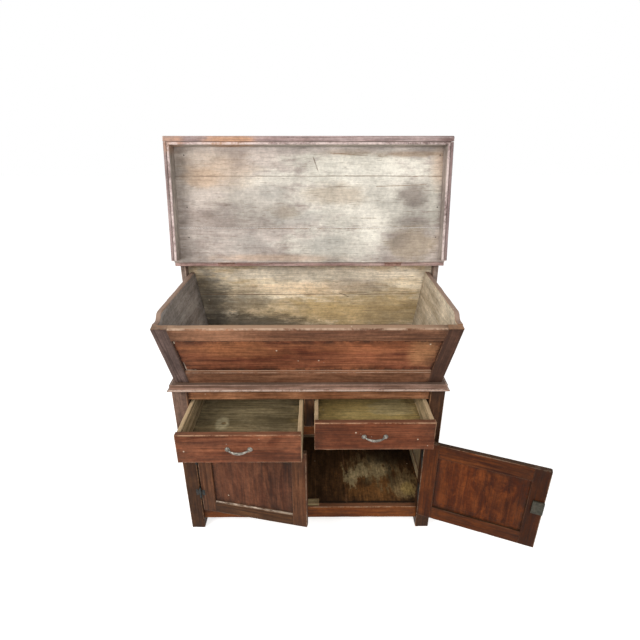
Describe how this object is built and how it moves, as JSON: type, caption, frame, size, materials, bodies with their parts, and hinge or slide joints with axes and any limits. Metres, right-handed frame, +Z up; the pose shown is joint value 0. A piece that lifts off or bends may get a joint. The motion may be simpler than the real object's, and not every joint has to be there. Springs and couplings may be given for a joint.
{
  "type": "bread cupboard",
  "caption": "Wooden bread cupboard: flared dough trough under a hinged lid, on a base with drawers over framed doors; lid, drawers, doors and lock bolt move.",
  "frame": {"origin": "on the floor, midway between the four posts of the base", "axes": "+X to the viewer's right, +Y from the front to the back, +Z up"},
  "size_m": [1.4193, 0.7402, 1.5288],
  "materials": {
    "stained_wood": "worn red-brown stain",
    "bare_wood": "bare aged boards",
    "hinge_iron": "dark wrought iron",
    "lock_steel": "dull grey steel",
    "pull_metal": "grey cast metal"
  },
  "bodies": {
    "carcass": {"post_front_left": "stained_wood", "post_front_right": "stained_wood", "rear_posts": "stained_wood", "front_bottom_rail": "stained_wood", "front_mid_rail": "stained_wood", "front_top_rail": "stained_wood", "drawer_divider": "stained_wood", "side_rails": "stained_wood", "side_panels": "stained_wood", "rear_rails": "bare_wood", "back_boards": "bare_wood", "floor_boards": "bare_wood", "floor_cleats": "bare_wood", "door_stop": "bare_wood", "drawer_runners": "bare_wood", "drawer_guides": "bare_wood", "case_top": "stained_wood", "cornice_front": "stained_wood", "cornice_left": "stained_wood", "cornice_right": "stained_wood", "trough_side_left": "stained_wood", "trough_side_right": "stained_wood", "trough_floor": "bare_wood", "trough_front_bottom_rail": "stained_wood", "trough_front_top_rail": "stained_wood", "trough_front_stiles": "stained_wood", "trough_front_panel": "stained_wood", "trough_back": "bare_wood", "back_battens": "stained_wood", "hinge_strip": "stained_wood", "door_hinge_post_leaves": "hinge_iron", "door_hinge_pins": "hinge_iron", "lid_hinge_strip_leaves": "hinge_iron", "lid_hinge_pins": "hinge_iron"},
    "lid": {"lid_boards": "bare_wood", "lid_front_lip": "stained_wood", "lid_left_lip": "stained_wood", "lid_right_lip": "stained_wood", "lid_hinge_lid_leaves": "hinge_iron"},
    "drawer_left": {"drawer_left_front": "stained_wood", "drawer_left_sides": "bare_wood", "drawer_left_back": "bare_wood", "drawer_left_bottom": "bare_wood", "drawer_left_pull": "pull_metal"},
    "drawer_right": {"drawer_right_front": "stained_wood", "drawer_right_sides": "bare_wood", "drawer_right_back": "bare_wood", "drawer_right_bottom": "bare_wood", "drawer_right_pull": "pull_metal"},
    "door_left": {"door_left_stiles": "stained_wood", "door_left_rails": "stained_wood", "door_left_panel": "stained_wood", "door_left_hinge_leaves": "hinge_iron"},
    "door_right": {"door_right_stiles": "stained_wood", "door_right_rails": "stained_wood", "door_right_panel": "stained_wood", "door_right_hinge_leaves": "hinge_iron", "lock_case": "lock_steel"},
    "lock_bolt": {"lock_bolt": "lock_steel"}
  },
  "joints": [
    {"name": "lid_hinge", "type": "hinge", "parent": "carcass", "child": "lid", "pos_m": [0, 0.1752, 1.0365], "axis": [-1, 0, 0], "range_deg": [-100.9, 0]},
    {"name": "drawer_left_slide", "type": "slide", "parent": "carcass", "child": "drawer_left", "axis": [0, -1, 0], "range_m": [-0.205, 0.125]},
    {"name": "drawer_right_slide", "type": "slide", "parent": "carcass", "child": "drawer_right", "axis": [0, -1, 0], "range_m": [-0.141, 0.189]},
    {"name": "door_left_hinge", "type": "hinge", "parent": "carcass", "child": "door_left", "pos_m": [-0.4432, -0.2593, 0.2855], "axis": [0, 0, -1], "range_deg": [-12, 153]},
    {"name": "door_right_hinge", "type": "hinge", "parent": "carcass", "child": "door_right", "pos_m": [0.4432, -0.2593, 0.2855], "axis": [0, 0, 1], "range_deg": [-158.4, 6.6]},
    {"name": "lock_bolt_slide", "type": "slide", "parent": "door_right", "child": "lock_bolt", "axis": [0.9298, -0.3681, 0], "range_m": [0, 0.009]}
  ]
}
